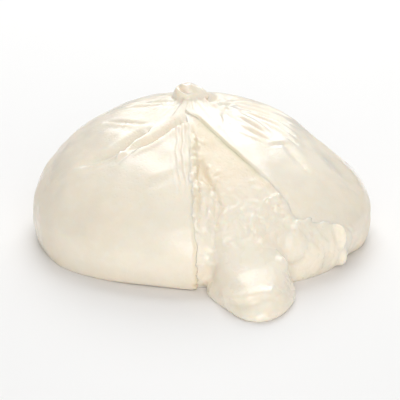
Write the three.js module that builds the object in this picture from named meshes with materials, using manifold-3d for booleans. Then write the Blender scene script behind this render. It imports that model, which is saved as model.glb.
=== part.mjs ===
// A burrata with a wedge cut open in its front: a pouch of pulled curd, gathered into a knot on
// top, and the soft filling of shreds and cream that shows in the cut and runs out on the floor.
// Units are millimetres and +Z is up. The origin is on the floor, under the middle of the pouch,
// and -Y is the front. Azimuths are in degrees, from the front (0) round by the right side (90).

import * as THREE from 'three';
import { mergeVertices } from 'three/addons/utils/BufferGeometryUtils.js';
import Module from 'manifold-3d';

// The pouch, settled under its own weight.
const halfWidth = 55;
const halfDepth = 48.5;
const crownHeight = 41.6;
const bulgeHeight = 10;        // height of the widest ring
const footShare = 0.95;        // size of the flat foot, as a share of the widest ring
const skinThickness = 2.6;
const pieceGap = 0.3;          // between the skin and the filling
const middleHeight = 14;       // the point that walls are measured towards

// The gathered knot, and the skin that rises to it.
const knotX = -4;
const knotY = 13;
const gatherRise = 2;
const gatherReach = 0.16;
const knotRings = [            // share of the knot's radius, height above the gather
  [0, 3.4],
  [0.3, 4.4],
  [0.68, 4.7],
  [0.94, 3.5],
  [1, 2],
  [0.88, 0.7],
];
const knotHalfWidth = 5.6;
const knotHalfDepth = 4.1;
const knotFold = 0.16;         // how unevenly the gathered end is rolled
const knotFoot = 0.05;         // band where the skin leaves the knot
const gatherThickness = 2.5;   // how much thicker the skin is under the knot
const pleatDepth = 0.5;
const pleatCount = 11;

// The crown's roundness (2 is an ellipse), and where its shoulder sags: azimuth, spread, loss.
const roundness = 1.95;
const sags = [
  [75, 50, 0.45],
  [-90, 60, 0.1],
];

// Folds pressed into the skin: a valley from one plan point to another, with a crest beside it
// that is placed and spread in widths of the valley.
const crestPlace = -2;
const crestSpread = 1.4;
const folds = [
  { from: [-5, 0], to: [-20, -14.5], depth: 1.8, width: 2.6, crest: 0.9 },
  { from: [-18, -13.6], to: [-37, -17.8], depth: 1.2, width: 3, crest: 0.9 },
  { from: [8, 7.5], to: [24, 6], depth: 0.8, width: 2, crest: 0.5 },
  { from: [7, 1.5], to: [25, -4], depth: 1, width: 2, crest: 0.6 },
  { from: [26, -5], to: [36, -13], depth: 1.2, width: 3.4, crest: 0.3 },
];

// The cut. Shares run from the crown (0) to the widest ring (1).
const cutTop = 0.19;
const cutEnd = 1.35;
const leftEdgeAzimuth = -2;
const rightEdgeSpan = 40;      // right edge: azimuth grows with a power of the share
const rightEdgePower = 0.55;
const rightHookStart = 0.93;   // and swings out to the side near the floor
const rightHookSpan = 21;

// The filling in the cut, below the level of the skin.
const grooveDepth = 7;         // along the left edge
const grooveRun = 0.2;         // share over which the groove deepens, from the top of the cut
const groovePower = 1.4;
const brimDepth = 0.8;         // along the right edge
const cutLap = 4;              // degrees that the filling's cut face runs on under the skin

// The tongue of cream, from inside the cut (+1) to its tip on the floor (-1).
const tongue = { x: 17, y: -49, halfLength: 22.5, halfWidth: 12, tipHeight: 9.4, backHeight: 17.5 };
const tongueRiseStart = -0.4;
const tongueRiseEnd = 0.9;

// Soft lobes of the filling beside it: middle, half sizes and a turn about the upright.
const lobes = [
  { middle: [6, -44.2, 0.2], half: [6.2, 10.6, 8.6], turn: 14 },
  { middle: [29, -32.5, 5], half: [9, 7, 7.4], turn: 38 },
  { middle: [30.6, -38.4, 5], half: [5, 4.6, 6.2], turn: 35 },
  { middle: [35.4, -34.6, 6.4], half: [3.4, 5.8, 7.2], turn: 42 },
  { middle: [39.4, -30.2, 5.6], half: [4.4, 5.6, 7], turn: 48 },
  { middle: [42, -26.4, 10.2], half: [4.6, 4.6, 5], turn: 52 },
  { middle: [43, -24.6, 3.4], half: [4.2, 5, 3.9], turn: 56 },
];

// How finely the round surfaces are divided.
const columns = 72;
const coreColumns = 48;
const innerColumns = 32;
const crownRows = 16;
const bulgeRows = 3;
const baseRows = 1;
const coreRows = 13;
const innerCrownRows = 8;
const lobeColumns = 12;
const lobeRows = 8;
const cutSteps = 22;
const smallestStep = 0.04;     // slivers finer than this are smoothed away

const wasm = await Module();
wasm.setup();

const radians = THREE.MathUtils.degToRad;
const middle = new THREE.Vector3(0, 0, middleHeight);

// A smooth hump of height 1 that has faded away about two spreads from its middle.
function bell(apart, spread) {
  return Math.exp(-((apart / spread) ** 2));
}

function turnBetween(azimuth, centre) {
  const turn = azimuth - centre;
  return turn - 360 * Math.round(turn / 360);
}

// How much a fold lifts the skin at a plan point.
function foldLift(fold, x, y) {
  const runX = fold.to[0] - fold.from[0];
  const runY = fold.to[1] - fold.from[1];
  const length = Math.hypot(runX, runY);
  const along = ((x - fold.from[0]) * runX + (y - fold.from[1]) * runY) / (length * length);
  const across = ((x - fold.from[0]) * runY - (y - fold.from[1]) * runX) / length;
  const pastMiddle = Math.max(0, Math.abs(along - 0.5) - 0.35);
  const fade = bell(pastMiddle, 0.25);
  const valley = fold.depth * bell(across, fold.width);
  const crest = fold.crest * bell(across - crestPlace * fold.width, crestSpread * fold.width);
  return fade * (crest - valley);
}

// A plan point. Above the widest ring the rings drift towards the knot as they rise.
function planPoint(azimuth, share, isCrown) {
  const drift = isCrown ? Math.max(0, 1 - share * share) : 0;
  const angle = radians(azimuth);
  return [
    knotX * drift + share * halfWidth * Math.sin(angle),
    knotY * drift - share * halfDepth * Math.cos(angle),
  ];
}

// A point of the pouch's skin. The band runs from 0 at the crown to 1 at the widest ring, 2 where
// the skin meets the floor and 3 at the middle of the foot. The inset is measured inwards.
function pouchPoint(azimuth, band, inset) {
  let share = footShare * (3 - band);
  let height = 0;
  if (band <= 1) {
    const angle = (band * Math.PI) / 2;
    let fullness = roundness;
    for (const [centre, spread, loss] of sags) {
      fullness -= loss * bell(turnBetween(azimuth, centre), spread);
    }
    share = Math.sin(angle);
    height = bulgeHeight + (crownHeight - bulgeHeight) * Math.cos(angle) ** (2 / fullness);
    height += gatherRise * bell(share, gatherReach);
  } else if (band <= 2) {
    const angle = ((band - 1) * Math.PI) / 2;
    share = footShare + (1 - footShare) * Math.cos(angle);
    height = bulgeHeight * (1 - Math.sin(angle));
  }
  const [x, y] = planPoint(azimuth, share, band <= 1);
  const point = new THREE.Vector3(x, y, height);
  let lift = -inset;
  if (band < 1) {
    const pleatFade = bell(share - gatherReach, gatherReach);
    lift += pleatDepth * pleatFade * Math.cos(radians(azimuth) * pleatCount);
    for (const fold of folds) {
      lift += foldLift(fold, x, y);
    }
  }
  const outwards = point.clone().sub(middle).normalize();
  return point.addScaledVector(outwards, lift);
}

// A closed surface whose points are the places that shape(azimuth, row) gives.
function wrappedBody(columnCount, rowCount, shape) {
  const geometry = new THREE.SphereGeometry(1, columnCount, rowCount);
  const place = geometry.attributes.position;
  const uv = geometry.attributes.uv;
  for (let i = 0; i < place.count; i += 1) {
    const row = Math.round((1 - uv.getY(i)) * rowCount);
    const azimuth = row === 0 || row === rowCount ? 0 : (uv.getX(i) % 1) * 360;
    const point = shape(azimuth, row);
    place.setXYZ(i, point.x, point.y, point.z);
  }
  return toSolid(geometry);
}

function toSolid(geometry) {
  const bare = geometry.clone();
  bare.deleteAttribute('normal');
  bare.deleteAttribute('uv');
  const merged = mergeVertices(bare, 1e-4);
  return new wasm.Manifold(new wasm.Mesh({
    numProp: 3,
    vertProperties: new Float32Array(merged.attributes.position.array),
    triVerts: new Uint32Array(merged.index.array),
  }));
}

function toMesh(name, solid, material) {
  const data = solid.getMesh();
  const geometry = new THREE.BufferGeometry();
  geometry.setAttribute('position', new THREE.BufferAttribute(data.vertProperties, 3));
  geometry.setIndex(new THREE.BufferAttribute(data.triVerts, 1));
  geometry.computeVertexNormals();
  const mesh = new THREE.Mesh(geometry, material);
  mesh.name = name;
  return mesh;
}

// The band that a row lies on, counted from the crown.
function bandOf(row, rowsToBulge) {
  if (row <= rowsToBulge) {
    return row / rowsToBulge;
  }
  const below = row - rowsToBulge;
  return below <= bulgeRows ? 1 + below / bulgeRows : 2 + (below - bulgeRows) / baseRows;
}

// The pouch's outside, knot and all, grown by a margin.
function outside(margin) {
  const knotRows = knotRings.length;
  const rows = knotRows + crownRows + bulgeRows + baseRows;
  const crown = pouchPoint(0, 0, 0);
  return wrappedBody(columns, rows, (azimuth, row) => {
    if (row < knotRows) {
      const [share, rise] = knotRings[row];
      const angle = radians(azimuth);
      const spread = share * (1 + knotFold * Math.cos(3 * angle + 1));
      return new THREE.Vector3(
        knotX + spread * (knotHalfWidth + margin) * Math.sin(angle),
        knotY - spread * (knotHalfDepth + margin) * Math.cos(angle),
        crown.z + rise * (1 + share * knotFold * Math.sin(2 * angle)) + margin,
      );
    }
    const band = bandOf(row - knotRows, crownRows);
    return pouchPoint(azimuth, Math.max(band, knotFoot + band * (1 - knotFoot)), -margin);
  });
}

// The space inside a wall of the given thickness, with the skin thicker under the knot.
function inside(thickness) {
  const rows = innerCrownRows + bulgeRows + baseRows;
  return wrappedBody(innerColumns, rows, (azimuth, row) => {
    const band = bandOf(row, innerCrownRows);
    const gather = gatherThickness * bell(band, gatherReach);
    const point = pouchPoint(azimuth, band, thickness + gather);
    point.z = Math.max(point.z, thickness);
    return point;
  });
}

function rightEdgeAzimuth(share) {
  const swing = THREE.MathUtils.smoothstep(share, rightHookStart, 1);
  return rightEdgeSpan * Math.max(0, share - cutTop) ** rightEdgePower + rightHookSpan * swing;
}

// The wedge that the knife and the weight of the filling opened, above the foot of the pouch.
function opening(margin) {
  const left = [];
  const right = [];
  for (let i = 0; i <= cutSteps; i += 1) {
    const share = cutTop + ((cutEnd - cutTop) * i) / cutSteps;
    const trim = THREE.MathUtils.radToDeg(margin / (halfDepth * share));
    const apart = rightEdgeAzimuth(share) - leftEdgeAzimuth;
    const inset = Math.min(trim, apart * 0.45);
    left.push(new THREE.Vector2(...planPoint(leftEdgeAzimuth + inset, share, true)));
    right.unshift(new THREE.Vector2(...planPoint(rightEdgeAzimuth(share) - inset, share, true)));
  }
  const outline = new THREE.Shape([...left, ...right]);
  const depth = crownHeight * 2;
  const prism = new THREE.ExtrudeGeometry(outline, { depth, bevelEnabled: false, steps: 1 });
  prism.translate(0, 0, skinThickness + margin);
  return toSolid(prism);
}

function skinBody(margin) {
  const shell = outside(margin).subtract(inside(skinThickness + margin));
  return shell.subtract(opening(margin)).simplify(smallestStep);
}

// The filling under the skin, sunk along the left edge of the cut and level at the right edge.
function fillingCore() {
  const rows = coreRows + bulgeRows + baseRows;
  return wrappedBody(coreColumns, rows, (azimuth, row) => {
    const band = bandOf(row, coreRows);
    const share = Math.sin((Math.min(band, 1) * Math.PI) / 2);
    const fromLeft = turnBetween(azimuth, leftEdgeAzimuth);
    const width = Math.max(cutLap, rightEdgeAzimuth(share) - leftEdgeAzimuth);
    const inCut = fromLeft > -cutLap && fromLeft < width + cutLap;
    const across = THREE.MathUtils.clamp(fromLeft / width, 0, 1);
    const deepest = grooveDepth * THREE.MathUtils.clamp((share - cutTop) / grooveRun, 0, 1);
    const sunk = brimDepth + (deepest - brimDepth) * (1 - across) ** groovePower;
    const lining = skinThickness + pieceGap;
    const point = pouchPoint(azimuth, band, inCut ? Math.max(brimDepth, sunk) : lining);
    point.z = Math.max(point.z, lining);
    return point;
  });
}

function tongueBody() {
  const shape = new THREE.SphereGeometry(1, lobeColumns * 2, lobeRows * 2);
  const place = shape.attributes.position;
  for (let i = 0; i < place.count; i += 1) {
    const along = place.getY(i);
    const rise = THREE.MathUtils.smoothstep(along, tongueRiseStart, tongueRiseEnd);
    const height = tongue.tipHeight + (tongue.backHeight - tongue.tipHeight) * rise;
    place.setXYZ(
      i,
      tongue.x + place.getX(i) * tongue.halfWidth,
      tongue.y + along * tongue.halfLength,
      place.getZ(i) * height,
    );
  }
  return toSolid(shape);
}

function lobeBody(lobe) {
  const [x, y, z] = lobe.middle;
  const shape = new THREE.SphereGeometry(1, lobeColumns, lobeRows);
  shape.rotateX(Math.PI / 2);
  shape.scale(...lobe.half);
  shape.rotateZ(radians(lobe.turn));
  shape.translate(x, y, z);
  return toSolid(shape);
}

// Everything above the floor, over more than the pouch's width.
function aboveFloor() {
  const room = new THREE.BoxGeometry(halfWidth * 4, halfDepth * 4, crownHeight * 2);
  room.translate(0, 0, crownHeight);
  return toSolid(room);
}

function fillingBody() {
  let body = fillingCore().add(tongueBody());
  for (const lobe of lobes) {
    body = body.add(lobeBody(lobe));
  }
  return body.intersect(aboveFloor()).subtract(skinBody(pieceGap)).simplify(smallestStep);
}

const skinMaterial = new THREE.MeshStandardMaterial({ color: 0xf1eadb, roughness: 0.42, metalness: 0 });
const fillingMaterial = new THREE.MeshStandardMaterial({ color: 0xeee4d1, roughness: 0.32, metalness: 0 });

const burrata = new THREE.Group();
burrata.add(toMesh('skin', skinBody(0), skinMaterial));
burrata.add(toMesh('filling', fillingBody(), fillingMaterial));

export default burrata;
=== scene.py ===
import math
import random

import bmesh
import bpy
import numpy as np
from mathutils import Matrix, Vector, noise


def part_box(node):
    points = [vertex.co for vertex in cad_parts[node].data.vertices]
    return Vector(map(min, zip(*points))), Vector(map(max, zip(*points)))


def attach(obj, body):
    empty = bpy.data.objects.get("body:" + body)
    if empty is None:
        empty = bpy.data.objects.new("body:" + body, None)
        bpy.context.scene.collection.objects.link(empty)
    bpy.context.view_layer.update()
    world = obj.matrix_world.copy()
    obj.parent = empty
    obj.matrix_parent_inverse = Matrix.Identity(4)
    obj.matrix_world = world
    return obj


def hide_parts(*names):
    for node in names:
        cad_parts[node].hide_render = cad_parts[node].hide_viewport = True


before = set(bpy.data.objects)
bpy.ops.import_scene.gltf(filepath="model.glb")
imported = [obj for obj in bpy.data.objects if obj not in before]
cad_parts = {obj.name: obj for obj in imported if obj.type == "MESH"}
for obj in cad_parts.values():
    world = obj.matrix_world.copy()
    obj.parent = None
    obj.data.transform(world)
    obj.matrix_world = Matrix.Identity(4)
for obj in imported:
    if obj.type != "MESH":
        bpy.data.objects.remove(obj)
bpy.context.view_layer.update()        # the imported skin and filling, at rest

mm = 0.001               # shapes are worked out in millimetres and scaled once, at the end
skinLow, skinHigh = (np.array(corner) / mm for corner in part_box("skin"))

pouch = {
    "halfWidth": skinHigh[0],
    "halfDepth": (skinHigh[1] - skinLow[1]) / 2,
    "crownHeight": 41.6,
    "bulgeHeight": 10.0,      # the widest ring
    "footShare": 0.95,
    "footTucks": [(-16, 17, 0.08), (62, 9, 0.085), (-54, 12, -0.03)],      # azimuth, spread, share
    "footCurl": 0.75,         # below 1 the wall stays full until it is low, then turns in
    "middleHeight": 14.0,     # walls are measured towards this point
    "thickness": 2.6,
    "roundness": 1.95,
    "sags": [(75, 50, 0.45), (-90, 60, 0.1)],      # azimuth, spread, loss of roundness
    "knotX": -4.0,
    "knotY": 13.0,
    "gatherRise": 2.0,
    "gatherReach": 0.16,
    "meanRadius": 50.0,       # for the length of a turn in degrees
}

cut = {
    "top": 0.19,              # share of the way from the crown to the widest ring
    "leftAzimuth": -2.0,
    "span": 40.0,
    "power": 0.55,
    "hookStart": 0.93,
    "hookSpan": 21.0,
    "shelf": 0.6,
    "apexTurn": 6.5,          # the top of the cut leans to the left by this angle
    "rightSlant": 0.78,       # the right edge runs aslant, so gaps across it are shorter
}

# Creases run from the knot outwards. The steep side is on the left of the run and holds the crest.
creases = [
    {"path": [(-5.2, -2.6), (-9.4, -6.2), (-13, -10.2), (-16.6, -13.2), (-20.2, -14.2), (-23.4, -15.6)],
     "depth": 3.0, "gentle": 5.0, "steep": 1.5, "crest": 0.7, "crestPlace": 2.4},
    {"path": [(-17.7, -6.9), (-20.3, -9.1), (-22.4, -11), (-25.1, -13.2), (-28.2, -15.2),
              (-32.1, -15.6), (-37, -15)],
     "depth": 2.7, "gentle": 4.6, "steep": 1.6, "crest": 0.6, "crestPlace": 2.7},
    {"path": [(-20.0, -9.6), (-21.6, -12.4), (-22.8, -13.9), (-24.5, -16.4), (-26.2, -19)],
     "depth": -1.1, "gentle": 1.3, "steep": 1.3, "crest": 0, "crestPlace": 2},
    {"path": [(-20.6, -15.8), (-23.4, -17.4), (-26.6, -19.8)],
     "depth": 0.6, "gentle": 1.3, "steep": 1.1, "crest": 0.2, "crestPlace": 1.8},
    {"path": [(-26.6, -17.6), (-31, -18.6), (-36, -18.4)],
     "depth": 0.6, "gentle": 1.6, "steep": 1.2, "crest": 0.2, "crestPlace": 1.8},
    {"path": [(-18, -2.6), (-23, -0.4), (-26.4, 1.9), (-30.5, 5)],
     "depth": 0.9, "gentle": 1.7, "steep": 1.2, "crest": 0.3, "crestPlace": 1.8},
    {"path": [(-8.7, 8.4), (-18.6, 14), (-30, 18.5)],
     "depth": 0.6, "gentle": 1.6, "steep": 1.1, "crest": 0.2, "crestPlace": 1.7},
    {"path": [(-8.7, 6.4), (-18.5, 10.4), (-30, 13.4)],
     "depth": 0.5, "gentle": 1.6, "steep": 1.1, "crest": 0.2, "crestPlace": 1.7},
    {"path": [(-16, -31.4), (-9.5, -28.8), (-5.5, -25.4)],
     "depth": 0.28, "gentle": 3.0, "steep": 2.4, "crest": 0.15, "crestPlace": 2.8},
    {"path": [(7.2, -4), (7.3, 1), (7.0, 4.6), (8.2, 7.2), (9.8, 6.8), (11, 3.3), (11.6, -1)],
     "depth": 0.6, "gentle": 1.3, "steep": 1.0, "crest": 0.2, "crestPlace": 1.6},
    {"path": [(8.8, 5), (9.4, 1.4), (9.2, -2)],
     "depth": 0.5, "gentle": 1.0, "steep": 0.9, "crest": 0.1, "crestPlace": 1.4},
    {"path": [(12.2, 2.2), (16, 0), (20.2, -3.1)],
     "depth": 0.75, "gentle": 1.4, "steep": 0.9, "crest": 0.3, "crestPlace": 1.5},
    {"path": [(12.6, -2.2), (17, -4.4), (21.5, -6.8)],
     "depth": 0.6, "gentle": 1.4, "steep": 0.9, "crest": 0.25, "crestPlace": 1.5},
    {"path": [(12.6, -7), (16.7, -8.3), (20.3, -10.2)],
     "depth": 0.35, "gentle": 1.3, "steep": 0.9, "crest": 0.1, "crestPlace": 1.4},
    {"path": [(13, 7.8), (19.4, 6.5), (23.7, 5.1), (29, 1.6)],
     "depth": 0.8, "gentle": 1.6, "steep": 1.0, "crest": 0.3, "crestPlace": 1.6},
    {"path": [(16, 9.9), (21, 9.2), (27, 7.2)],
     "depth": 0.5, "gentle": 1.2, "steep": 0.9, "crest": 0.2, "crestPlace": 1.4},
    {"path": [(12, 14), (17.6, 12.2), (22.1, 11.6), (28, 9.8)],
     "depth": 0.8, "gentle": 1.6, "steep": 1.1, "crest": 0.3, "crestPlace": 1.7},
    {"path": [(11, 18.5), (19.5, 19.4), (29, 16.4)],
     "depth": 0.7, "gentle": 1.8, "steep": 1.2, "crest": 0.3, "crestPlace": 1.8},
    {"path": [(21, 2.6), (25.6, 0.4), (30, -3)],
     "depth": 0.5, "gentle": 1.3, "steep": 0.9, "crest": 0.2, "crestPlace": 1.5},
    {"path": [(4.6, 6.2), (6.9, 10.4), (10.5, 13)],
     "depth": 0.6, "gentle": 1.4, "steep": 1.1, "crest": 0.2, "crestPlace": 1.6},
    {"path": [(21.6, -9.6), (26.9, -5.9)],
     "depth": 0.35, "gentle": 1.4, "steep": 0.9, "crest": 0.2, "crestPlace": 1.5},
    {"path": [(26.6, -6.4), (29.8, -11), (33, -15)],
     "depth": 0.55, "gentle": 3.0, "steep": 1.8, "crest": 0.2, "crestPlace": 2.8},
    {"path": [(38, 4.5), (44, -0.5), (49.5, -9)],
     "depth": 1.2, "gentle": 7.5, "steep": 6.0, "crest": 0.1, "crestPlace": 6},
    {"path": [(2.4, 10), (3.6, 14.5), (5.4, 20)],
     "depth": 1.9, "gentle": 3.0, "steep": 2.6, "crest": 0.2, "crestPlace": 3},
    {"path": [(6, 20), (12, 19)],
     "depth": 0.9, "gentle": 6, "steep": 6, "crest": 0, "crestPlace": 3},
    {"path": [(30, 33), (41, 24), (45, 10)],
     "depth": 2.8, "gentle": 12, "steep": 12, "crest": 0, "crestPlace": 6},
]


def bell(apart, spread):
    return np.exp(-(apart / spread) ** 2)


def smoothStep(value, start, end):
    t = np.clip((value - start) / (end - start), 0, 1)
    return t * t * (3 - 2 * t)


def turnBetween(azimuth, centre):
    return (azimuth - centre + 180) % 360 - 180


# Millimetres along the wall for a turn in degrees.
def arcLength(turn, share):
    return turn * share * pouch["meanRadius"] * math.pi / 180


def planPoints(azimuth, share, isCrown):
    drift = np.where(isCrown, np.clip(1 - share ** 2, 0, 1), 0)     # rings drift to the knot as they rise
    angle = np.radians(azimuth)
    x = pouch["knotX"] * drift + share * pouch["halfWidth"] * np.sin(angle)
    y = pouch["knotY"] * drift - share * pouch["halfDepth"] * np.cos(angle)
    return np.stack([x, y], -1)


# The pouch's surface. Azimuth 0 is the front (-Y) and 90 the right. Band 0 is the crown, 1 the widest
# ring, 2 where the skin meets the floor, 3 the middle of the foot.
def pouchPoints(azimuth, band, inset=0.0):
    azimuth, band = np.broadcast_arrays(np.asarray(azimuth, float), np.asarray(band, float))
    bulge = pouch["bulgeHeight"]
    crownAngle = np.clip(band, 0, 1) * math.pi / 2
    bulgeAngle = np.clip(band - 1, 0, 1) * math.pi / 2
    fullness = pouch["roundness"] - sum(
        loss * bell(turnBetween(azimuth, centre), spread) for centre, spread, loss in pouch["sags"])
    crownShare = np.sin(crownAngle)
    crownRise = np.cos(crownAngle).clip(0, 1) ** (2 / fullness)
    foot = pouch["footShare"] - sum(
        tuck * bell(turnBetween(azimuth, centre), spread) for centre, spread, tuck in pouch["footTucks"])
    crownZ = bulge + (pouch["crownHeight"] - bulge) * crownRise
    crownZ = crownZ + pouch["gatherRise"] * bell(crownShare, pouch["gatherReach"])
    bulgeShare = foot + (1 - foot) * np.cos(bulgeAngle).clip(0, 1) ** pouch["footCurl"]
    share = np.where(band <= 1, crownShare, np.where(band <= 2, bulgeShare, foot * (3 - band)))
    z = np.where(band <= 1, crownZ, np.where(band <= 2, bulge * (1 - np.sin(bulgeAngle)), 0))
    points = np.concatenate([planPoints(azimuth, share, band <= 1), z[..., None]], -1)
    outwards = points - np.array([0, 0, pouch["middleHeight"]])
    outwards /= np.linalg.norm(outwards, axis=-1, keepdims=True)
    return points - outwards * np.asarray(inset)[..., None], outwards, share


def leftEdge(band, share):
    wobble = 0.3 * np.sin(band * 23) + 0.16 * np.sin(band * 57 + 1)
    wobble *= smoothStep(share, cut["top"], 0.4) * (1 - smoothStep(band, 1.8, 2))
    return cut["leftAzimuth"] + wobble - cut["apexTurn"] * (1 - smoothStep(share, cut["top"], 0.32))


def rightEdge(share):
    reach = np.clip(share - cut["top"], 0, None) ** cut["power"]
    apex = -(cut["apexTurn"] - cut["leftAzimuth"]) * (1 - smoothStep(share, cut["top"], 0.26))
    return cut["span"] * reach + cut["hookSpan"] * smoothStep(share, cut["hookStart"], 1) + apex


# A path with its corners cut three times over, so that it bends smoothly.
def softened(path):
    path = np.array(path, float)
    for _ in range(3):
        near = 0.75 * path[:-1] + 0.25 * path[1:]
        far = 0.25 * path[:-1] + 0.75 * path[1:]
        middle = np.stack([near, far], 1).reshape(-1, path.shape[1])
        path = np.concatenate([path[:1], middle[1:-1], path[-1:]])
    return path


def creaseLift(plan, crease):
    path = softened(crease["path"])
    runs = path[1:] - path[:-1]
    lengths = np.linalg.norm(runs, axis=1)
    starts = np.concatenate([[0], np.cumsum(lengths)])
    nearest = np.full(len(plan), 1e6)
    side = np.ones(len(plan))
    reached = np.zeros(len(plan))
    for start, run, length, before in zip(path, runs, lengths, starts):
        toPoint = plan - start
        along = np.clip(toPoint @ run / length ** 2, 0, 1)
        gap = toPoint - along[:, None] * run
        distance = np.linalg.norm(gap, axis=1)
        closer = distance < nearest
        nearest = np.where(closer, distance, nearest)
        side = np.where(closer, np.sign(run[0] * gap[:, 1] - run[1] * gap[:, 0]), side)
        reached = np.where(closer, (before + along * length) / starts[-1], reached)
    taper = np.clip(np.sin(math.pi * np.clip(reached, 0.02, 0.98)), 0, 1) ** skinShape["creaseTaper"]
    width = np.where(side > 0, crease["steep"], crease["gentle"]) * (0.6 + 0.4 * taper)
    crestWidth = crease["crestPlace"] * skinShape["crestWidth"]
    crest = crease["crest"] * bell(side * nearest - crease["crestPlace"], crestWidth)
    return taper * (crest - crease["depth"] * (1 - smoothStep(nearest, 0, width)))


def meshFrom(shape, name):
    mesh = bpy.data.meshes.new(name)
    shape.to_mesh(mesh)
    shape.free()
    return mesh


def linked(name, data):
    made = bpy.data.objects.new(name, data)
    bpy.context.scene.collection.objects.link(made)
    return made


def newPiece(name, shape, finish, node):
    bmesh.ops.scale(shape, vec=(mm, mm, mm), verts=shape.verts)
    mesh = meshFrom(shape, name)
    mesh.polygons.foreach_set("use_smooth", [True] * len(mesh.polygons))
    mesh.materials.append(finish)
    piece = linked(name, mesh)
    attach(piece, "root")
    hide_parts(node)
    print(name, len(mesh.polygons), "faces")
    return piece


def vertexArray(shape):
    return np.array([v.co[:] for v in shape.verts])


def placeVertices(shape, points):
    for vertex, point in zip(shape.verts, points):
        vertex.co = point


def perVertex(mesh, name):
    flat = np.empty(len(mesh.vertices) * 3)
    mesh.vertices.foreach_get(name, flat)
    return flat.reshape(-1, 3)


def pointArray(mesh):
    return perVertex(mesh, "co") / mm


def setPoints(mesh, points):
    mesh.vertices.foreach_set("co", (points * mm).ravel())
    mesh.update()


def paint(piece, name, values):
    layer = piece.data.attributes.new(name, "FLOAT", "POINT")
    layer.data.foreach_set("value", np.asarray(values, float))


# Shader maths: a wire is a socket that sums, products and so on can be made from.
class Wire:
    def __init__(self, finish, socket):
        self.finish = finish
        self.socket = socket

    def maths(self, operation, first, second):
        return self.finish.add("Math", {"operation": operation}, {0: first, 1: second})

    def __add__(self, other):
        return self.maths("ADD", self, other)

    def __radd__(self, other):
        return self.maths("ADD", other, self)

    def __sub__(self, other):
        return self.maths("SUBTRACT", self, other)

    def __rsub__(self, other):
        return self.maths("SUBTRACT", other, self)

    def __mul__(self, other):
        return self.maths("MULTIPLY", self, other)

    def __rmul__(self, other):
        return self.maths("MULTIPLY", other, self)


class Finish:
    def __init__(self, name):
        self.material = bpy.data.materials.new(name)
        self.material.use_nodes = True
        self.tree = self.material.node_tree
        self.tree.nodes.clear()

    def add(self, kind, settings=None, values=None, outlet=0):
        node = self.tree.nodes.new("ShaderNode" + kind)
        for key, setting in (settings or {}).items():
            setattr(node, key, setting)
        for key, value in (values or {}).items():
            if isinstance(value, Wire):
                self.tree.links.new(value.socket, node.inputs[key])
            else:
                node.inputs[key].default_value = value
        return Wire(self, node.outputs[outlet]) if len(node.outputs) else None

    def clouds(self, where, scale, detail=3.0, roughness=0.55):
        values = {"Vector": where, "Scale": scale, "Detail": detail, "Roughness": roughness}
        return self.add("TexNoise", {}, values)

    def between(self, value, low, high):
        values = {"Value": value, "From Min": low, "From Max": high}
        return self.add("MapRange", {"interpolation_type": "SMOOTHSTEP"}, values)

    def blend(self, factor, first, second):
        return self.add("Mix", {"data_type": "RGBA"}, {"Factor": factor, "A": first, "B": second}, outlet=2)


cheese = {                     # what both materials share
    "pale": (0.98, 0.895, 0.80, 1),
    "tintAndShadeColour": (0.768, 0.69, 0.468, 1),      # yellower tone at the knot and upper cut, painted shade low down, on the sides, in the groove and along the seams
    "mottle": 0.5,
    "mottleRange": (0.35, 0.7),
    "fleckRange": (0.4, 0.75),
    "wetRange": (0.35, 0.65),
    "pitRange": (0.0, 0.5),
    "pitScale": 900.0,
    "ior": 1.48,
    "subsurface": 0.7,
    "scatter": (1.0, 0.8, 0.6),
    "scatterDepth": 0.0014,
    "coatIor": 1.55,
}


def cheeseFinish(name, look):
    finish = Finish(name)
    place = finish.add("TexCoord", outlet=3)
    tintAndShadeAmount = finish.add("Attribute", {"attribute_name": "tintAndShade"}, outlet=2)
    mottle = finish.between(finish.clouds(place, look["mottleScale"], 2), *look["mottleRange"])
    fleck = finish.between(finish.clouds(place, look["fleckScale"], 3), *look["fleckRange"])
    colour = finish.blend(mottle * look["mottle"], look["colour"], look["shade"])
    colour = finish.blend(fleck * look["fleck"], colour, look["pale"])
    # blends in painted shade (foot, front corner, sides, groove, seams) and a yellower tone (knot, upper
    # corner of the cut)
    colour = finish.blend(tintAndShadeAmount, colour, look["tintAndShadeColour"])
    wet = finish.between(finish.clouds(place, look["wetScale"], 2), *look["wetRange"])
    roughness = look["dryRoughness"] - wet * (look["dryRoughness"] - look["wetRoughness"])
    grain = finish.clouds(place, look["grainScale"], 4, 0.6)
    pits = finish.add("TexVoronoi", {"feature": "F1"}, {"Vector": place, "Scale": look["pitScale"]})
    relief = grain * look["grain"] + finish.between(pits, *look["pitRange"]) * look["pit"]
    bump = finish.add("Bump", {}, {"Height": relief, "Distance": look["bumpDepth"], "Strength": 1.0})
    shader = finish.add("BsdfPrincipled", {"subsurface_method": "RANDOM_WALK"}, {
        "Base Color": colour,
        "Roughness": roughness,
        "Normal": bump,
        "IOR": look["ior"],
        "Subsurface Weight": look["subsurface"],
        "Subsurface Radius": look["scatter"],
        "Subsurface Scale": look["scatterDepth"],
        "Coat Weight": finish.between(wet * look["coat"] + look["leastCoat"] - tintAndShadeAmount, 0.0, 1.0),
        "Coat Roughness": look["coatRoughness"],
        "Coat IOR": look["coatIor"],
    })
    finish.add("OutputMaterial", {}, {"Surface": shader})
    return finish.material


skinLook = {
    **cheese,
    "colour": (0.98, 0.857, 0.725, 1),
    "shade": (0.955, 0.815, 0.66, 1),
    "mottleScale": 45.0,
    "fleck": 0.35,
    "fleckScale": 420.0,
    "wetScale": 70.0,
    "dryRoughness": 0.42,
    "wetRoughness": 0.28,
    "grain": 0.8,
    "grainScale": 430.0,
    "pit": 0.3,
    "bumpDepth": 0.00012,
    "coat": 0.7,
    "leastCoat": 0.26,
    "coatRoughness": 0.23,
    "warmTop": 0.04,
    # painted shade: near the floor, in the low front corner and on the sides
    "paintedShadeFoot": 0.1,
    "paintedShadeCorner": 0.1,
    "paintedShadeFlank": 0.14,
}

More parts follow.
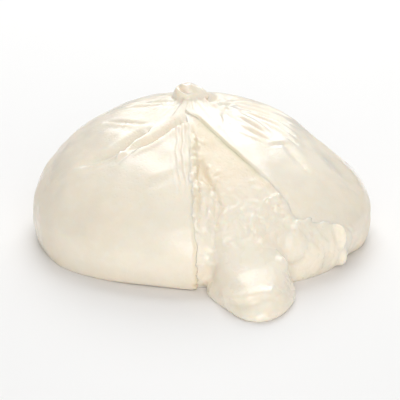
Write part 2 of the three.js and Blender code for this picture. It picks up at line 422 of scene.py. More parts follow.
skinShape = {
    "columns": 400,
    "edgeCrowding": 0.6,       # how much closer the columns stand near the cut
    "rows": {"knot": 24, "crown": 110, "bulge": 22, "base": 8},
    "innerColumns": 150,
    "innerRows": {"knot": 5, "crown": 110, "bulge": 22, "base": 8},
    "knotFoot": 0.064,         # band where the skin leaves the knot
    "leftLip": 0.35,           # how far the lips of the cut roll in
    "rightLip": 0.55,
    "unevenness": 0.5,
    "ripple": 0.14,            # faint rings around the flanks
    "pleats": [(5, 0.22, 0.4), (9, 0.16, 2.1), (14, 0.12, 4.4), (23, 0.09, 1.3)],
    "fibreLift": 0.16,
    "fibreScale": (15, 4),     # across and along the fibres
    "fibreMost": (75, 45),     # azimuth and spread where they are twice as high
    "creaseTaper": 0.36,       # nearer 0, creases end more bluntly
    "crestWidth": 0.55,
    "leftLipWidth": 1.3,
    "rightLipWidth": 0.9,
    "weld": 0.003,
}

knot = {
    "halfWidth": 5.8,
    "halfDepth": 4.2,
    "rise": 3.8,
    "roundness": 1.5,
    "slant": 0.34,             # it falls to the right
    "tuckDepth": 1.0,          # the fold across its front
    "tuckWidth": 0.08,
}


# The tied end: a low nub folded over at the front left, flush with the pouch at its foot.
def knotPoints(azimuth, progress):
    crown = pouchPoints(azimuth, skinShape["knotFoot"] * progress)[0]
    angle = np.radians(azimuth)
    aside = turnBetween(azimuth, 0)
    seam = 0.6 + 0.1 * smoothStep(aside, -100, 10)              # the fold dips from the left to the front
    near = smoothStep(aside, -105, -75) * (1 - smoothStep(aside, -15, 25))
    tuck = near * bell(progress - seam, knot["tuckWidth"])
    flap = near * bell(progress - seam - 0.17, 0.1)
    brow = near * bell(progress - seam + 0.16, 0.12)
    tip = bell(turnBetween(azimuth, 90), 30) - 0.5 * bell(turnBetween(azimuth, 38), 26)
    uneven = 1 + 0.16 * tip - 0.06 * bell(turnBetween(azimuth, 150), 30)
    hump = (1 - progress ** 2.2) ** (1 / knot["roundness"])
    lean = 1 - knot["slant"] * progress * np.sin(angle)
    folds = 0.22 * np.sin(2 * angle + 5 * progress + 0.6) * np.sin(math.pi * progress)
    x = pouch["knotX"] + knot["halfWidth"] * progress * uneven * np.sin(angle)
    y = pouch["knotY"] - knot["halfDepth"] * progress * uneven * np.cos(angle)
    y -= 0.7 * flap + 0.35 * brow
    z = crown[:, 2] + knot["rise"] * hump * lean - knot["tuckDepth"] * tuck + 0.3 * flap + 0.3 * brow + folds
    return np.stack([x, y, z - 0.4 * smoothStep(progress, 0.9, 1)], -1)


# How far the skin stands out of the plain pouch: pleats, creases, the lips of the cut.
def skinLift(azimuth, band, share, plan):
    angle = np.radians(azimuth)
    lift = np.zeros(len(azimuth))
    for count, height, start in skinShape["pleats"]:
        fade = bell(share - 0.12, 0.1 + 2.4 / count)
        lift += height * fade * np.cos(count * angle + start)
    for crease in creases:
        lift += creaseLift(plan, crease)
    fine, run = skinShape["fibreScale"]
    fibre = np.array([
        noise.noise(Vector((fine * math.sin(a), fine * math.cos(a), b * run))) for a, b in zip(angle, band)])
    centre, spread = skinShape["fibreMost"]
    fibre *= 1 + bell(turnBetween(azimuth, centre), spread)
    lift += skinShape["fibreLift"] * fibre * smoothStep(0.7 - share, 0, 0.3) * smoothStep(share, 0.08, 0.16)
    return np.where(band < 1, lift * smoothStep(1 - band, 0, 0.12), 0)


def edgeGaps(azimuth, band, share):
    reach = arcLength(1, np.clip(share, 0.02, 1))
    left = np.abs(360 + leftEdge(band, share) - azimuth) * reach
    right = np.abs(azimuth - rightEdge(share)) * reach * cut["rightSlant"]
    return left, right


def lipLift(azimuth, band, share):
    left, right = edgeGaps(azimuth, band, share)
    opened = smoothStep(share, cut["top"], cut["top"] + 0.08) * (band < 2)
    softer = smoothStep(share, 0.6, 0.9)        # low down, the right lip sinks into the cream
    lift = -skinShape["leftLip"] * (1 - smoothStep(left, 0, skinShape["leftLipWidth"]))
    lift -= skinShape["rightLip"] * (1 - smoothStep(right, 0, skinShape["rightLipWidth"] + 1.6 * softer))
    upper = smoothStep(share, 0.25, 0.4) * (1 - smoothStep(share, 0.72, 0.85))
    wander = left + 0.3 * np.sin(share * 19) + 0.1 * np.sin(share * 53)
    lift += 0.2 * upper * np.cos(wander * 2 * math.pi / 1.7) * bell(left - 2.4, 2.4)
    lift += 0.5 * bell(right - 2.5, 3.5) * smoothStep(share, 0.4, 0.6) * (1 - softer)
    return lift * opened


# Cream smeared on the skin along the low right edge.
def smearLift(points, azimuth, band, share):
    right = edgeGaps(azimuth, band, share)[1]
    near = bell(right, 3.2) * smoothStep(share, 0.74, 0.9) * (1 - smoothStep(band, 1.2, 1.7))
    lift = np.zeros(len(points))
    for i in np.nonzero(near > 0.02)[0]:
        lift[i] = 0.25 + shredRelief(points[i])
    return lift * near


def unevenLift(points, share):
    wavy = np.array([noise.noise(Vector(p / 16)) + 0.4 * noise.noise(Vector(p / 6)) for p in points])
    flat = np.array([noise.noise(Vector((x / 18, y / 18, z / 2.4))) for x, y, z in points])
    lift = skinShape["unevenness"] * wavy + skinShape["ripple"] * flat
    return lift * smoothStep(points[:, 2], 0.5, 7) * smoothStep(share, 0.1, 0.3)


# Relief of the shreds in the cream, drawn out downhill. No seed is set for noise_vector, which then
# starts from the clock, so the relief varies a little from run to run.
def shredRelief(point):
    place = Vector(point)
    warped = place + 1.8 * noise.noise_vector(place / 4)
    warped = Vector((warped.x, warped.y * 0.55, warped.z * 0.55)) / filling["shredScale"]
    swell = noise.noise(warped) + 0.5 * noise.noise(warped * 2.1)
    patch = 0.45 + 0.9 * float(smoothStep(noise.noise(place / 6), -0.3, 0.4))
    return swell * patch * filling["shredLift"]


def bandOfRow(row, rows):
    step = row - rows["knot"]
    foot = skinShape["knotFoot"]
    crown = foot * np.clip(1 + step / rows["knot"], 0, 1)
    crown = crown + (1 - foot) * np.clip(step, 0, rows["crown"]) / rows["crown"]
    below = np.clip(step - rows["crown"], 0, rows["bulge"]) / rows["bulge"]
    base = np.clip(step - rows["crown"] - rows["bulge"], 0, rows["base"]) / rows["base"]
    return crown + below + base


def columnAzimuth(u, band, share):
    crowded = u - skinShape["edgeCrowding"] * np.sin(2 * math.pi * u) / (2 * math.pi)
    closed = smoothStep(band, 2.0, 2.12)                        # the foot is whole again behind the cut
    left = leftEdge(band, share)
    edge = np.where(share < cut["top"], left, rightEdge(np.where(band < 1, share, 1)))
    start = edge * (1 - closed) + left * closed
    return start + (360 + left - start) * crowded


# A flat grid, and for each of its points where it belongs on the pouch.
def wrappedGrid(columns, rows):
    rowCount = sum(rows.values())
    shape = bmesh.new()
    shape.loops.layers.uv.new("fibres")
    bmesh.ops.create_grid(shape, x_segments=columns, y_segments=rowCount, size=1, calc_uvs=True)
    flat = vertexArray(shape)
    u = (flat[:, 0] + 1) / 2
    row = np.round((1 - flat[:, 1]) / 2 * rowCount)
    band = bandOfRow(row, rows)
    share = pouchPoints(0.0, band)[2]
    return shape, u, row, band, share, columnAzimuth(u, band, share)


def outerWall():
    rows = skinShape["rows"]
    shape, _, row, band, _, azimuth = wrappedGrid(skinShape["columns"], rows)
    points, outwards, share = pouchPoints(azimuth, band)
    lift = skinLift(azimuth, band, share, points[:, :2]) + lipLift(azimuth, band, share)
    lift += unevenLift(points, share) + smearLift(points, azimuth, band, share)
    points = points + outwards * lift[:, None]
    inKnot = row < rows["knot"]
    points[inKnot] = knotPoints(azimuth[inKnot], row[inKnot] / rows["knot"])
    placeVertices(shape, points)
    bmesh.ops.remove_doubles(shape, verts=shape.verts, dist=skinShape["weld"])
    return shape


def innerWall():
    shape, u, _, band, share, azimuth = wrappedGrid(skinShape["innerColumns"], skinShape["innerRows"])
    reach = arcLength(1, np.clip(share, 0.1, 1))
    shelf = cut["shelf"] * smoothStep(band, 0.7, 1.0)           # low down, the left cut face slants
    azimuth = azimuth + bell(1 - u, 0.04) * shelf / reach * (band < 2)
    plain = pouchPoints(azimuth, band)[0]
    lift = 0.6 * skinLift(azimuth, band, share, plain[:, :2])
    lift *= smoothStep(band, 0, 0.08)
    gather = 2.5 * bell(band, pouch["gatherReach"])
    points = pouchPoints(azimuth, band, pouch["thickness"] + gather - lift)[0]
    points[:, 2] = np.maximum(points[:, 2], pouch["thickness"] * smoothStep(band, 1.2, 1.9))
    placeVertices(shape, points)
    bmesh.ops.remove_doubles(shape, verts=shape.verts, dist=skinShape["weld"])
    return shape


def addShape(shape, other):
    carrier = meshFrom(other, "carrier")
    shape.from_mesh(carrier)
    bpy.data.meshes.remove(carrier)


def makeSkin(finish):
    shape = outerWall()
    print("outer wall", len(shape.verts), "points")
    addShape(shape, innerWall())
    rims = [edge for edge in shape.edges if len(edge.link_faces) == 1]
    print("rim edges", len(rims))
    bmesh.ops.bridge_loops(shape, edges=rims)
    bmesh.ops.recalc_face_normals(shape, faces=shape.faces)
    opened = [edge for edge in shape.edges if len(edge.link_faces) != 2]
    print("open edges", len(opened))
    piece = newPiece("skin_pouch", shape, finish, "skin")
    points = pointArray(piece.data)
    paint(piece, "tintAndShade", skinTintAndShade(points))
    return piece


# Azimuth and share of points that lie on or near the pouch.
def placeOnPouch(points):
    share = np.hypot(points[:, 0] / pouch["halfWidth"], points[:, 1] / pouch["halfDepth"]).clip(0, 1)
    for _ in range(14):
        drift = 1 - share ** 2
        across = (points[:, 0] - pouch["knotX"] * drift) / pouch["halfWidth"]
        along = (points[:, 1] - pouch["knotY"] * drift) / pouch["halfDepth"]
        share = np.hypot(across, along).clip(0, 1)
    return np.degrees(np.arctan2(across, -along)) % 360, share


# Painted shade where the two materials meet, along both lips of the cut.
def seamShade(azimuth, share):
    right = arcLength(np.abs(azimuth - rightEdge(share)), share)
    left = arcLength(np.abs(turnBetween(azimuth, cut["leftAzimuth"])), share)
    rims = 0.8 * bell(right, 0.9) * (1 - smoothStep(share, 0.72, 0.86)) + 0.45 * bell(left, 0.7)
    return rims * smoothStep(share, 0.2, 0.3)


# Yellower tone at the knot; painted shade near the floor, in the low front corner, on the sides and along
# the lips of the cut.
def skinTintAndShade(points):
    azimuth, share = placeOnPouch(points)
    fromKnot = np.hypot(points[:, 0] - pouch["knotX"], points[:, 1] - pouch["knotY"])
    top = bell(fromKnot, 5.5) * smoothStep(points[:, 2], 42, 44)
    # painted shade near the floor
    foot = 1 - smoothStep(points[:, 2], 0.5, 9)
    # painted shade in the low front corner beside the tongue
    corner = bell(np.hypot(points[:, 0] + 0.5, points[:, 1] + 47), 6) * (1 - smoothStep(points[:, 2], 1, 9))
    # painted shade on the sides, which get less light
    flank = smoothStep(np.abs(points[:, 0]), 38, 54)
    tintAndShade = skinLook["warmTop"] * top + skinLook["paintedShadeFoot"] * foot
    tintAndShade = tintAndShade + skinLook["paintedShadeCorner"] * corner + skinLook["paintedShadeFlank"] * flank
    return np.clip(tintAndShade + seamShade(azimuth, share), 0, 1)


fillingLook = {
    **cheese,
    "colour": (0.98, 0.86, 0.725, 1),
    "shade": (0.955, 0.815, 0.655, 1),
    "mottleScale": 90.0,
    "fleck": 0.5,
    "fleckScale": 500.0,
    "wetScale": 160.0,
    "dryRoughness": 0.4,
    "wetRoughness": 0.22,
    "grain": 0.5,
    "grainScale": 600.0,
    "pit": 0.2,
    "bumpDepth": 0.00015,
    "coat": 0.45,
    "leastCoat": 0.3,
    "coatRoughness": 0.3,
    "warmUpper": 0.42,
    # painted shade in the deep groove and along the seams with the skin
    "paintedShadeGroove": 0.5,
    "paintedShadeSeam": 0.6,
    "grooveDegree": 0.87,      # millimetres for a degree, where the groove gets painted shade
}

filling = {
    "lining": 2.4,             # it presses against the inside of the skin
    "floorLining": 2.9,
    "lap": 5.0,                # degrees that the open face runs on under the skin
    "voxel": 0.42,
    "shredScale": 1.9,
    "shredLift": 0.38,
    "coreSegments": (320, 130),
    "coreRows": [0, 0.7, 0.88, 1],        # share of the way down at which bands 0, 1, 2 and 3 come
    "coreCrowding": 0.75,      # how much closer its columns stand at the front
    "relaxRounds": 6,
    "tongueRounds": 36,
    "massRelax": 0.16,         # what share of the tongue's softness the lumps beside it get
    "tongueCalm": 0.75,        # how much weaker the shreds are on the tongue
    "massCalm": 0.7,           # on the lumps beside it
    "cornerCalm": 0.8,         # and in the smooth upper corner
    "hiddenFrom": 66,          # the skin covers it beyond these azimuths and behind this y
    "hiddenTo": -12,
    "hiddenBehind": 12,
    "hiddenKept": 0.55,
    "hiddenPull": 10,
}

# The open face, down the cut. Shares of the way from the crown to the widest ring; depths are below
# the skin's level: at the left lip, in the groove, just right of the groove and at the right edge.
openFace = {
    "share": [0.19, 0.35, 0.6, 0.72, 0.86, 0.96, 1.0],
    "lipDepth": [0.3, 0.25, 0.2, 0.2, 0.3, 0.7, 1.5],
    "grooveDepth": [0.5, 1.3, 2.2, 4.0, 4.3, 3.6, 3.2],
    "flowDepth": [0.6, 1.4, 1.8, 1.8, 1.5, 1.1, 0.8],
    "brimDepth": [0.6, 0.65, 0.45, 0.25, 0.0, -0.1, -0.05],
    "groovePlace": [0.8, 1.9, 2.4, 3.8, 7.6, 6.0, 4.6],
    "grooveRise": 1.7,
    "pits": [(1.2, 0.635, 2.4, 0.9, 0.045), (2.2, 0.5, 1.3, 0.7, 0.05),     # gap, band, depth, two spreads
             (29.5, 1.15, 2.6, 3.0, 0.3)],
}

# The cream that ran out, in two layers: where each layer's edge lies, and how high it is at distances
# ahead of the pouch's widest ring.
spill = {
    "middle": (15.0, -49.5),
    "layers": [
        {"outline": [(4, -42), (0.6, -46), (1.6, -51), (5.6, -57.8), (10.0, -65.2), (13.4, -68.3),
                     (16.6, -69), (19.9, -68.4), (23.4, -65.2), (26.0, -60.8), (28.0, -55.4), (28.8, -50),
                     (28, -44.5), (25, -38), (17, -34), (10, -38)],
         "ahead": [-5, 21], "height": [7.2, 5.6], "lowShare": 0.3, "lowWidth": 7.0},
        {"outline": [(6, -43), (3.2, -48), (4.6, -53), (6.8, -57), (9.6, -61.6), (12.5, -64.3), (15.6, -65),
                     (18, -63.8), (21.8, -63), (24.8, -59), (26.8, -54.5), (27.4, -50), (27, -45),
                     (25, -38), (17, -34), (10, -38)],
         "ahead": [-8, -5.5, -2.5, 0, 2, 4.3, 6.8, 10.3, 15, 19],
         "height": [19.5, 18.8, 17.3, 15.5, 13.8, 12.0, 10.5, 9.5, 8.8, 8.3],
         "lowShare": 0.1, "lowWidth": 4.0},
    ],
    "ridge": [(6.6, -55.6, 3.6), (7.8, -58.2, 4.4), (9.8, -61.2, 5.2), (12.7, -62.8, 5.8),
              (15.6, -62.8, 6.5), (18, -61.6, 7.0), (21, -61.0, 6.2), (23.8, -58.8, 5.2)],
    "ridgeHalf": 1.8,
    "ridgeFlatness": 0.8,
    "segments": (160, 72),
    "rightDip": 0.15,                     # how much lower it lies beside the lumps
    "lowSide": [(0.6, -46), (14, -69)],   # both layers thin out towards this side
    "squareness": 3.6,
    "undercut": 0.3,
}

lobes = [                      # middle, half sizes, turn about the upright
    ((24.0, -46.8, 9.7), (2.3, 3.6, 2.7), 0),                  # the knob at the root of the tongue
    ((28.0, -36.8, 11.4), (6.0, 4.4, 6), 32),
    ((33.4, -33.6, 7.0), (5.0, 4.6, 7.6), 42),                  # the broad lump beside it
    ((36.4, -34.6, 8.0), (1.2, 1.8, 5.4), 42),                  # the ridge on its side
    ((39.6, -31.8, 9.0), (1.1, 2.0, 5.0), 48),
    ((42.7, -29.4, 11.2), (1.7, 3.0, 4.4), 55),
    ((43.2, -28.2, 4.4), (1.9, 2.8, 3.6), 55),
    ((39.9, -29.2, 7.4), (3.0, 3.6, 7), 49),
]

curds = {
    "count": 150,
    "bandStart": 0.3,
    "bandSpan": 0.9,
    "crowding": 0.9,
    "length": (1.2, 3.6),
    "thick": (0.5, 1.05),
    "turnSpread": 0.7,
    "sink": (0.4, 0.85),
    "widen": (0.9, 1.5),
}

strip = {
    "count": 44,
    "bandStart": 0.28,
    "bandSpan": 0.46,
    "gap": (0.1, 1.5),
    "depth": (0.7, 1.3),
    "thick": (0.6, 1.0),
    "widen": (1, 2),
}

smear = {
    "count": 22,
    "share": (0.84, 1.0),
    "aside": (-4.5, 0.6),
    "depth": (0.3, 0.7),
    "length": (1.6, 3.4),
    "width": (0.9, 1.7),
    "thick": (0.4, 0.6),
    "turn": (-0.9, 0.9),
}

# Single shreds and curds: azimuth, band, half sizes (downhill, across, out), turn.
shreds = [
    (9.0, 0.84, (0.8, 0.9, 0.6), 0), (11.0, 0.87, (0.5, 1.2, 0.5), 0), (7.5, 0.96, (0.7, 1.0, 0.6), 20),
    (19.5, 0.91, (1.8, 0.5, 0.6), 5), (18.5, 0.99, (0.6, 0.6, 0.5), 0), (22.5, 0.75, (0.9, 1.4, 0.5), 0),
    (5.5, 0.58, (1.4, 1.2, 0.8), 0), (3.0, 0.70, (2.2, 0.9, 0.7), 0), (7.5, 0.70, (2.2, 0.9, 0.6), 0),
    (34.5, 0.76, (1.7, 0.5, 0.5), -40), (34.5, 0.81, (1.7, 0.5, 0.5), -40),
    (24.0, 0.55, (1.0, 0.5, 0.35), 60),
    (7.0, 0.46, (1.1, 0.8, 0.7), 0), (11.0, 0.49, (1.1, 0.7, 0.5), 20), (15.5, 0.69, (1.0, 1.2, 0.5), 30),
    (7.5, 0.76, (0.8, 0.8, 0.6), 0), (1.0, 0.74, (1.5, 0.7, 0.6), 0), (13.0, 0.60, (2.4, 0.9, 0.5), 8),
    (13.0, 0.77, (1.6, 1.0, 0.5), -10), (27.0, 0.82, (1.4, 0.8, 0.5), 15), (8.0, 0.89, (1.6, 0.9, 0.9), -8),
    (7.0, 0.96, (1.6, 0.9, 0.9), -8), (5.6, 1.06, (1.6, 1.0, 0.9), -14), (4.2, 1.20, (1.5, 1.0, 0.9), -20),
]


def faceValue(name, share):
    return np.interp(share, openFace["share"], openFace[name])


def fillingInset(azimuth, band, share):
    widest = np.clip(np.where(band < 1, share, 1), 0.1, 1)
    reach = arcLength(1, widest)
    start = leftEdge(band, widest)
    gap = np.clip(turnBetween(azimuth, start) * reach, 0, None)
    width = (rightEdge(widest) - start) * reach
    depths = ("lipDepth", "grooveDepth", "flowDepth", "brimDepth")
    lip, deep, flow, brim = (faceValue(name, widest) for name in depths)
    width = np.maximum(width, 1)
    place = np.minimum(faceValue("groovePlace", widest), width * 0.5)
    leftFace = lip + (deep - lip) * np.clip(gap / place, 0, 1) ** 1.4
    across = np.clip((gap - place) / (width - place), 0, 1)
    rest = flow + (brim - flow) * across
    rest = rest + (deep - flow) * (1 - smoothStep(gap, place, place + openFace["grooveRise"]))
    inset = np.where(gap < place, leftFace, rest)
    for pitGap, pitBand, depth, wide, long in openFace["pits"]:
        inset = inset + depth * bell(gap - pitGap, wide) * bell(band - pitBand, long)
    return inset


def fillingCore():
    shape = bmesh.new()
    around, upwards = filling["coreSegments"]
    bmesh.ops.create_uvsphere(shape, u_segments=around, v_segments=upwards, radius=1)
    ball = vertexArray(shape)
    turn = np.degrees(np.arctan2(ball[:, 0], -ball[:, 1])) % 360 / 360
    azimuth = 360 * (turn - filling["coreCrowding"] * np.sin(2 * math.pi * turn) / (2 * math.pi))
    down = np.degrees(np.arccos(np.clip(ball[:, 2], -1, 1))) / 180
    band = np.interp(down, filling["coreRows"], [0, 1, 2, 3])
    share = pouchPoints(0.0, band)[2]
    plain = pouchPoints(azimuth, band)[0]
    shown = pouchPoints(azimuth, band, fillingInset(azimuth, band, share) - unevenLift(plain, share))[0]
    shown[:, 2] -= 1.5 * (band > 1.97)          # the foot ends just under the floor
    creased = np.clip(-skinLift(azimuth, band, share, plain[:, :2]), 0, None)
    covered = pouchPoints(azimuth, band, filling["lining"] + creased)[0]
    covered[:, 2] = np.maximum(covered[:, 2], filling["floorLining"])
    aside = turnBetween(azimuth, 0)
    left = leftEdge(band, share)
    right = rightEdge(np.where(band < 1, share, 1)) + filling["lap"]
    inside = smoothStep(aside, left - 2.6, left - 1.6) * (1 - smoothStep(aside, right - 1.5, right + 1.5))
    placeVertices(shape, covered + (shown - covered) * inside[:, None])
    return shape


def addLayer(shape, layer):
    sides, rings = spill["segments"]
    ball = bmesh.ops.create_uvsphere(shape, u_segments=sides, v_segments=rings, radius=1)["verts"]
    middle = np.array(spill["middle"])
    rim = softened(layer["outline"]) - middle
    turns = np.arctan2(rim[:, 1], rim[:, 0])
    order = np.argsort(turns)
    turns, reaches = turns[order], np.hypot(*rim.T)[order]
    power = 2 / spill["squareness"]
    start, end = np.array(spill["lowSide"], float)
    along = (end - start) / np.linalg.norm(end - start)
    inwards = np.array([-along[1], along[0]])
    for vertex in ball:
        x, y, z = vertex.co
        around = math.atan2(y, x)
        out = math.hypot(x, y) ** power if z > 0 else 1 - (1 - math.hypot(x, y)) ** 0.5
        reach = np.interp(around, turns, reaches, period=2 * math.pi) * out
        plan = middle + reach * np.array([math.cos(around), math.sin(around)])
        ring = pouch["halfDepth"] * math.sqrt(1 - min(abs(plan[0]) / pouch["halfWidth"], 1) ** 2)
        height = np.interp(-plan[1] - ring, layer["ahead"], layer["height"])
        fromSide = float((plan - start) @ inwards)
        low = layer["lowShare"] * (1 - float(smoothStep(fromSide, 0, layer["lowWidth"])))
        height *= 1 - low * float(smoothStep(-plan[1], 42, 48))
        beside = float(smoothStep(plan[0], 20, 26) * smoothStep(plan[1], -49, -43))
        height *= 1 - spill["rightDip"] * beside
        up = abs(z) ** power * height if z > 0 else z * 3
        tuck = 1 - spill["undercut"] / 20 * float(smoothStep(-up, -4, 0))
        vertex.co = (*(middle + (plan - middle) * tuck), up)


# The soft fold across the front of the tongue.
def addRidge(shape):
    path = softened(spill["ridge"])
    wide = spill["ridgeHalf"]
    half = (wide, wide, wide * spill["ridgeFlatness"])
    for start, end in zip(path[:-1], path[1:]):
        for share in (0.0, 0.5):
            addLump(shape, Vector(start + (end - start) * share), half, Matrix.Identity(4), 2)


def turnOf(side, ahead, upright):
    return Matrix((side, ahead, upright)).transposed().to_4x4()


def addLump(shape, middle, half, turning, fine=3):
    place = Matrix.Translation(middle) @ turning @ Matrix.Diagonal((*half, 1))
    bmesh.ops.create_icosphere(shape, subdivisions=fine, radius=1, matrix=place)


# A lump that lies on the open face, with its length downhill.
def layLump(shape, azimuth, band, half, aslant, sink):
    share = math.sin(min(band, 1) * math.pi / 2)
    inset = float(fillingInset(np.array(azimuth), np.array(band), np.array(share)))
    point, outwards, _ = pouchPoints(azimuth, band, inset)
    ahead = pouchPoints(azimuth, band + 0.02, inset)[0]
    downhill = Vector(ahead - point).normalized()
    upright = Vector(outwards).normalized()
    side = upright.cross(downhill).normalized()
    length, width, thick = half
    middle = Vector(point) - upright * thick * sink
    turning = turnOf(side, downhill, upright) @ Matrix.Rotation(aslant, 4, "Z")
    addLump(shape, middle, (width, length, thick), turning, 2)


# Shreds and curds that lie in the cut, mostly downhill, half sunk in the cream.
def addCurds(shape):
    for azimuth, band, half, turn in shreds:
        layLump(shape, azimuth, band, half, math.radians(turn), 0.2)
    draw = random.Random(11)
    for _ in range(curds["count"]):
        band = curds["bandStart"] + curds["bandSpan"] * draw.random() ** curds["crowding"]
        share = math.sin(min(band, 1) * math.pi / 2)
        edge = float(rightEdge(np.array(share)))
        across = draw.random()
        azimuth = cut["leftAzimuth"] + 4 * share + (edge - 3) * across
        length = draw.uniform(*curds["length"])
        thick = draw.uniform(*curds["thick"])
        aslant = draw.gauss(0, curds["turnSpread"])
        sink = draw.uniform(*curds["sink"])
        half = (length, thick * draw.uniform(*curds["widen"]), thick)
        smoothCorner = across > 0.85 - 0.8 * float(smoothStep(share, 0.3, 0.8)) and share < 0.75
        if smoothCorner or (band > 1.02 and azimuth < 26):
            continue
        layLump(shape, azimuth, band, half, aslant, sink)


# The lumpy strip that hangs on the left edge of the cut.
def addStrip(shape):
    draw = random.Random(5)
    for step in range(strip["count"]):
        band = strip["bandStart"] + strip["bandSpan"] * step / (strip["count"] - 1)
        reach = arcLength(1, math.sin(band * math.pi / 2))
        gap = draw.uniform(*strip["gap"])
        depth = draw.uniform(*strip["depth"])
        point = pouchPoints(cut["leftAzimuth"] + gap / reach, band, depth)[0]
        thick = draw.uniform(*strip["thick"])
        half = (thick, thick * draw.uniform(*strip["widen"]), thick)
        addLump(shape, Vector(point), half, Matrix.Identity(4), 2)


# Cream smeared over the low end of the right edge.
def addSmear(shape):
    draw = random.Random(23)
    for _ in range(smear["count"]):
        share = draw.uniform(*smear["share"])
        band = 2 / math.pi * math.asin(share)
        azimuth = float(rightEdge(np.array(share))) + draw.uniform(*smear["aside"])
        point, outwards, _ = pouchPoints(azimuth, band, draw.uniform(*smear["depth"]))
        upright = Vector(outwards).normalized()
        side = Vector((0, 0, 1)).cross(upright).normalized()
        half = [draw.uniform(*smear[size]) for size in ("length", "width", "thick")]
        aslant = Matrix.Rotation(draw.uniform(*smear["turn"]), 4, "Z")
        addLump(shape, Vector(point), half, turnOf(side, upright.cross(side), upright) @ aslant, 2)


def relaxed(points, edges, weights, rounds):
    first, second = edges[:, 0], edges[:, 1]
    count = np.bincount(edges.ravel(), minlength=len(points)).clip(1)
    for _ in range(rounds):
        total = np.zeros_like(points)
        for axis in range(3):
            total[:, axis] = np.bincount(first, points[second, axis], len(points))
            total[:, axis] += np.bincount(second, points[first, axis], len(points))
        points = points + (total / count[:, None] - points) * (0.5 * weights)[:, None]
    return points


def remeshed(shape, voxel):
    bmesh.ops.scale(shape, vec=(mm, mm, mm), verts=shape.verts)
    lumps = linked("lumps", meshFrom(shape, "lumps"))
    joining = lumps.modifiers.new("join", "REMESH")
    joining.mode = "VOXEL"
    joining.voxel_size = voxel * mm
    graph = bpy.context.evaluated_depsgraph_get()
    joined = bpy.data.meshes.new_from_object(lumps.evaluated_get(graph))
    bpy.data.objects.remove(lumps)
    return joined


# 1 on the tongue: in front of the pouch, low, and to the left of the lumps.
def tonguePlace(points):
    x, y, z = points.T
    return smoothStep(-y, 41, 47) * (1 - smoothStep(z, 13, 19)) * (1 - smoothStep(x, 26, 29))


# Softens the joined lumps, the tongue most, and then raises the relief of the shreds.
def sculptFilling(mesh):
    points = pointArray(mesh)
    pairs = np.empty(len(mesh.edges) * 2, int)
    mesh.edges.foreach_get("vertices", pairs)
    edges = pairs.reshape(-1, 2)
    tongue = tonguePlace(points)
    mass = smoothStep(points[:, 0], 24, 30) * smoothStep(-points[:, 1], 20, 26)
    points = relaxed(points, edges, np.ones(len(points)), filling["relaxRounds"])
    softness = np.clip(tongue + filling["massRelax"] * mass, 0, 1)
    points = relaxed(points, edges, softness, filling["tongueRounds"])
    setPoints(mesh, points)
    normals = perVertex(mesh, "normal")
    x, y, z = points.T
    rough = (1 - filling["tongueCalm"] * tongue) * smoothStep(-y, 6, 20)
    rough = rough * (1 - filling["massCalm"] * mass) * (1 - smoothStep(z, 31, 37))
    smoothCorner = smoothStep(x - 3, 0, 6) * smoothStep(z, 22, 30)
    rough *= 1 - filling["cornerCalm"] * smoothCorner
    lift = np.zeros(len(points))
    for i in np.nonzero(rough > 0.02)[0]:
        lift[i] = shredRelief(points[i])
    lift *= rough
    setPoints(mesh, points + normals * lift[:, None])


def clipAtFloor(shape):
    cutting = bmesh.ops.bisect_plane(
        shape, geom=shape.verts[:] + shape.edges[:] + shape.faces[:],
        plane_co=(0, 0, 0), plane_no=(0, 0, -1), clear_outer=True)
    rim = [part for part in cutting["geom_cut"] if isinstance(part, bmesh.types.BMEdge)]
    bmesh.ops.contextual_create(shape, geom=rim)


def makeFilling(finish):
    lumps = bmesh.new()
    for middle, half, turn in lobes:
        addLump(lumps, middle, half, Matrix.Rotation(math.radians(turn), 4, "Z"))
    addCurds(lumps)
    addStrip(lumps)
    addSmear(lumps)
    for layer in spill["layers"]:
        addLayer(lumps, layer)
    addRidge(lumps)
    shape = fillingCore()
    addShape(shape, lumps)
    joined = remeshed(shape, filling["voxel"])
    sculptFilling(joined)
    shape = bmesh.new()
    shape.from_mesh(joined)
    bpy.data.meshes.remove(joined)
    bmesh.ops.scale(shape, vec=(1 / mm, 1 / mm, 1 / mm), verts=shape.verts)
    print("filling", len(shape.verts), "points")
    clipAtFloor(shape)
    piece = newPiece("filling_stracciatella", shape, finish, "filling")
    points = pointArray(piece.data)
    paint(piece, "tintAndShade", fillingTintAndShade(points))
    thinHidden(piece, points)
    return piece


# The smooth upper corner of the open face is drier and yellower; the deep groove at its left and the seams
# with the skin get painted shade.
def fillingTintAndShade(points):
    azimuth, share = placeOnPouch(points)
    azimuth = turnBetween(azimuth, 0)
    inCut = smoothStep(azimuth, -3, 0) * (1 - smoothStep(azimuth, 60, 66)) * (points[:, 2] > 12)
    upper = (1 - smoothStep(share, 0.62, 0.86)) * smoothStep(share, 0.2, 0.35)
    gap = (azimuth - cut["leftAzimuth"]) * share * fillingLook["grooveDegree"]
    # painted shade in the deep groove
    groove = bell(gap - 1.2, 1.0) * bell(share - 0.83, 0.06)
    tintAndShade = fillingLook["warmUpper"] * upper + fillingLook["paintedShadeGroove"] * groove
    return np.clip(inCut * (tintAndShade + fillingLook["paintedShadeSeam"] * seamShade(azimuth, share)), 0, 1)


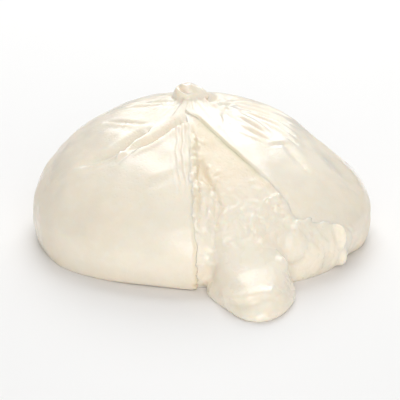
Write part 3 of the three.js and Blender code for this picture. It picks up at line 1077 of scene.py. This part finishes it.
# The part of the filling that the skin hides is kept coarse.
def thinHidden(piece, points):
    x, y = points[:, 0], points[:, 1]
    azimuth = turnBetween(np.degrees(np.arctan2(x - pouch["knotX"], -(y - pouch["knotY"]))), 0)
    inView = (azimuth > filling["hiddenTo"]) & (azimuth < filling["hiddenFrom"])
    shown = inView & (y < filling["hiddenBehind"])
    hidden = piece.vertex_groups.new(name="hidden")
    hidden.add(np.nonzero(~shown)[0].tolist(), 1.0, "REPLACE")
    thinning = piece.modifiers.new("thin", "DECIMATE")
    thinning.ratio = filling["hiddenKept"]
    thinning.vertex_group = "hidden"
    thinning.vertex_group_factor = filling["hiddenPull"]
    graph = bpy.context.evaluated_depsgraph_get()
    thinned = bpy.data.meshes.new_from_object(piece.evaluated_get(graph))
    piece.modifiers.clear()
    old = piece.data
    piece.data = thinned
    bpy.data.meshes.remove(old)
    print("filling thinned to", len(thinned.polygons), "faces")


stage = {
    "floorColour": (0.9, 0.898, 0.892, 1),
    "world": 0.37,
    "elevation": 23.0,
    "distance": 0.620,
    "imageWidth": 0.1314,      # what the frame spans at the object
    "aim": (-0.00066, 0.00424, 0.00998),
    "sensorWidth": 36,
    "floorRoughness": 0.6,
    "floorHalf": 6,
    "lampAim": (0, 0, 0.02),
    "lamps": {                 # width, height, radiance, place
        "back": (0.75, 0.5, 3.05, (0.03, 0.75, 0.6)),
        "overhead": (0.75, 0.36, 2.85, (0.02, 0.33, 0.85)),
        "front": (0.75, 0.75, 3.1, (0.08, -0.95, 0.48)),
    },
}


def turnTowards(thing, aim):
    thing.rotation_euler = (Vector(aim) - thing.location).to_track_quat("-Z", "Y").to_euler()


def addLamp(name, width, height, radiance, place):
    data = bpy.data.lights.new(name, "AREA")
    data.shape = "RECTANGLE"
    data.size = width
    data.size_y = height
    data.energy = radiance * math.pi * width * height
    light = linked(name, data)
    light.location = place
    turnTowards(light, stage["lampAim"])


def makeStage():
    ground = Finish("floor_pale")
    values = {"Base Color": stage["floorColour"], "Roughness": stage["floorRoughness"]}
    surface = ground.add("BsdfPrincipled", {}, values)
    ground.add("OutputMaterial", {}, {"Surface": surface})
    shape = bmesh.new()
    bmesh.ops.create_grid(shape, x_segments=1, y_segments=1, size=stage["floorHalf"])
    floor = linked("floor", meshFrom(shape, "floor"))
    floor.data.materials.append(ground.material)
    for name, settings in stage["lamps"].items():
        addLamp(name, *settings)
    world = bpy.data.worlds.new("room")
    bpy.context.scene.world = world
    world.use_nodes = True
    sky = world.node_tree.nodes["Background"].inputs
    sky["Color"].default_value = (1, 1, 1, 1)
    sky["Strength"].default_value = stage["world"]
    print("stage with", len(stage["lamps"]), "lamps")


def makeCamera():
    elevation = math.radians(stage["elevation"])
    data = bpy.data.cameras.new("camera")
    data.sensor_width = stage["sensorWidth"]
    data.lens = stage["sensorWidth"] * stage["distance"] / stage["imageWidth"]
    camera = linked("camera", data)
    back = stage["distance"]
    camera.location = (0, -back * math.cos(elevation), back * math.sin(elevation))
    turnTowards(camera, stage["aim"])
    bpy.context.scene.camera = camera
    bpy.context.scene.view_settings.view_transform = "Standard"


makeCamera()
makeStage()
makeSkin(cheeseFinish("skin_cream", skinLook))
makeFilling(cheeseFinish("filling_cream", fillingLook))
